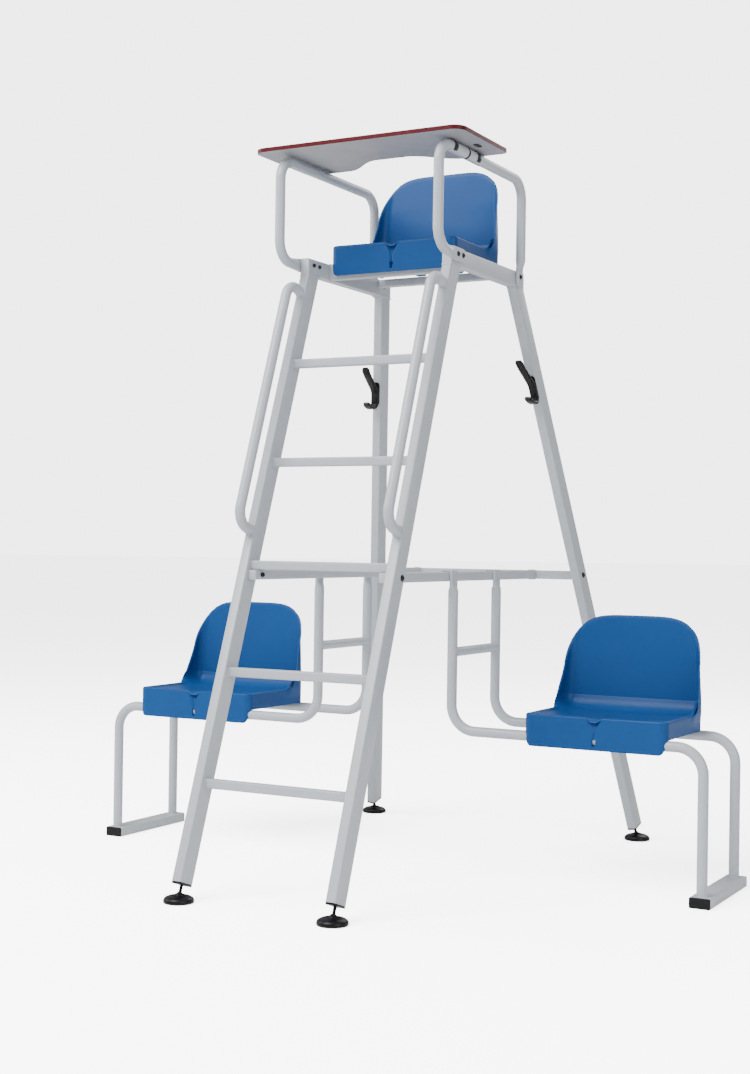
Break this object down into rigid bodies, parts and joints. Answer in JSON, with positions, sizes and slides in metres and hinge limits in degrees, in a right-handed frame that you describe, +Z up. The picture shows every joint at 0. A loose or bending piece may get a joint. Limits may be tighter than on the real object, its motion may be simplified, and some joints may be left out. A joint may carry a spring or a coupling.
{
  "type": "tennis umpire chair",
  "caption": "Tall umpire's chair: ladder tower with handrails, a seat with arms and a flip-up writing desk, and a lower seat hung on each side.",
  "frame": {"origin": "on the floor, under the middle of the object's box", "axes": "+Z up; -Y is the ladder side that a climber faces; +X to the right seen from the front"},
  "size_m": [2.042, 1.6561, 2.162],
  "materials": {
    "grey_powder_coat": "light grey powder coat, satin",
    "blue_gloss_plastic": "moulded royal blue plastic, glossy",
    "board_face": "light grey laminate, matt",
    "red_edge_band": "dark red edge band",
    "black_plastic": "black moulded plastic, satin",
    "black_steel": "black coated steel"
  },
  "bodies": {
    "tower": {"arm_left": "grey_powder_coat", "arm_right": "grey_powder_coat", "cross_rail_bolt_left": "black_steel", "cross_rail_bolt_right": "black_steel", "front_leg_left": "grey_powder_coat", "front_leg_right": "grey_powder_coat", "handrail_left": "grey_powder_coat", "handrail_right": "grey_powder_coat", "hook_left": "black_plastic", "hook_right": "black_plastic", "leg_plug_front_left": "black_plastic", "leg_plug_front_right": "black_plastic", "leg_plug_rear_left": "black_plastic", "leg_plug_rear_right": "black_plastic", "main_seat_shell": "blue_gloss_plastic", "mid_cross_rail": "grey_powder_coat", "mid_rail_bolt_left": "black_steel", "mid_rail_bolt_right": "black_steel", "mid_rail_left": "grey_powder_coat", "mid_rail_right": "grey_powder_coat", "rear_leg_left": "grey_powder_coat", "rear_leg_right": "grey_powder_coat", "rung_1": "grey_powder_coat", "rung_2": "grey_powder_coat", "rung_3": "grey_powder_coat", "rung_4": "grey_powder_coat", "rung_5": "grey_powder_coat", "seat_cross_front": "grey_powder_coat", "seat_cross_rear": "grey_powder_coat", "seat_rail_left": "grey_powder_coat", "seat_rail_right": "grey_powder_coat"},
    "desk": {"desk_board": "board_face", "desk_clamp_front": "grey_powder_coat", "desk_clamp_rear": "grey_powder_coat", "desk_edge_band": "red_edge_band", "desk_strap_front": "black_steel", "desk_strap_rear": "black_steel"},
    "side_seat_left": {"side_seat_left_brace": "grey_powder_coat", "side_seat_left_cap_front": "black_plastic", "side_seat_left_cap_rear": "black_plastic", "side_seat_left_foot_rail": "grey_powder_coat", "side_seat_left_front_tube": "grey_powder_coat", "side_seat_left_rear_tube": "grey_powder_coat", "side_seat_left_shell": "blue_gloss_plastic"},
    "side_seat_right": {"side_seat_right_brace": "grey_powder_coat", "side_seat_right_cap_front": "black_plastic", "side_seat_right_cap_rear": "black_plastic", "side_seat_right_foot_rail": "grey_powder_coat", "side_seat_right_front_tube": "grey_powder_coat", "side_seat_right_rear_tube": "grey_powder_coat", "side_seat_right_shell": "blue_gloss_plastic"},
    "foot_front_left": {"foot_pad_front_left": "black_plastic", "foot_stem_front_left": "black_steel"},
    "foot_front_right": {"foot_pad_front_right": "black_plastic", "foot_stem_front_right": "black_steel"},
    "foot_rear_left": {"foot_pad_rear_left": "black_plastic", "foot_stem_rear_left": "black_steel"},
    "foot_rear_right": {"foot_pad_rear_right": "black_plastic", "foot_stem_rear_right": "black_steel"}
  },
  "joints": [
    {"name": "desk_flip", "type": "hinge", "parent": "tower", "child": "desk", "pos_m": [0.2635, -0.12, 2.121], "axis": [0, 1, 0], "range_deg": [0, 90]},
    {"name": "side_seat_left_slide", "type": "slide", "parent": "tower", "child": "side_seat_left", "axis": [0, 1, 0], "range_m": [-0.12, 0.12]},
    {"name": "side_seat_right_slide", "type": "slide", "parent": "tower", "child": "side_seat_right", "axis": [0, 1, 0], "range_m": [-0.12, 0.12]},
    {"name": "foot_front_left_screw", "type": "slide", "parent": "tower", "child": "foot_front_left", "axis": [0, 0.3368, 0.9416], "range_m": [0, 0.022]},
    {"name": "foot_front_right_screw", "type": "slide", "parent": "tower", "child": "foot_front_right", "axis": [0, 0.3368, 0.9416], "range_m": [0, 0.022]},
    {"name": "foot_rear_left_screw", "type": "slide", "parent": "tower", "child": "foot_rear_left", "axis": [0.1403, -0.2559, 0.9565], "range_m": [0, 0.022]},
    {"name": "foot_rear_right_screw", "type": "slide", "parent": "tower", "child": "foot_rear_right", "axis": [-0.1403, -0.2559, 0.9565], "range_m": [0, 0.022]}
  ]
}
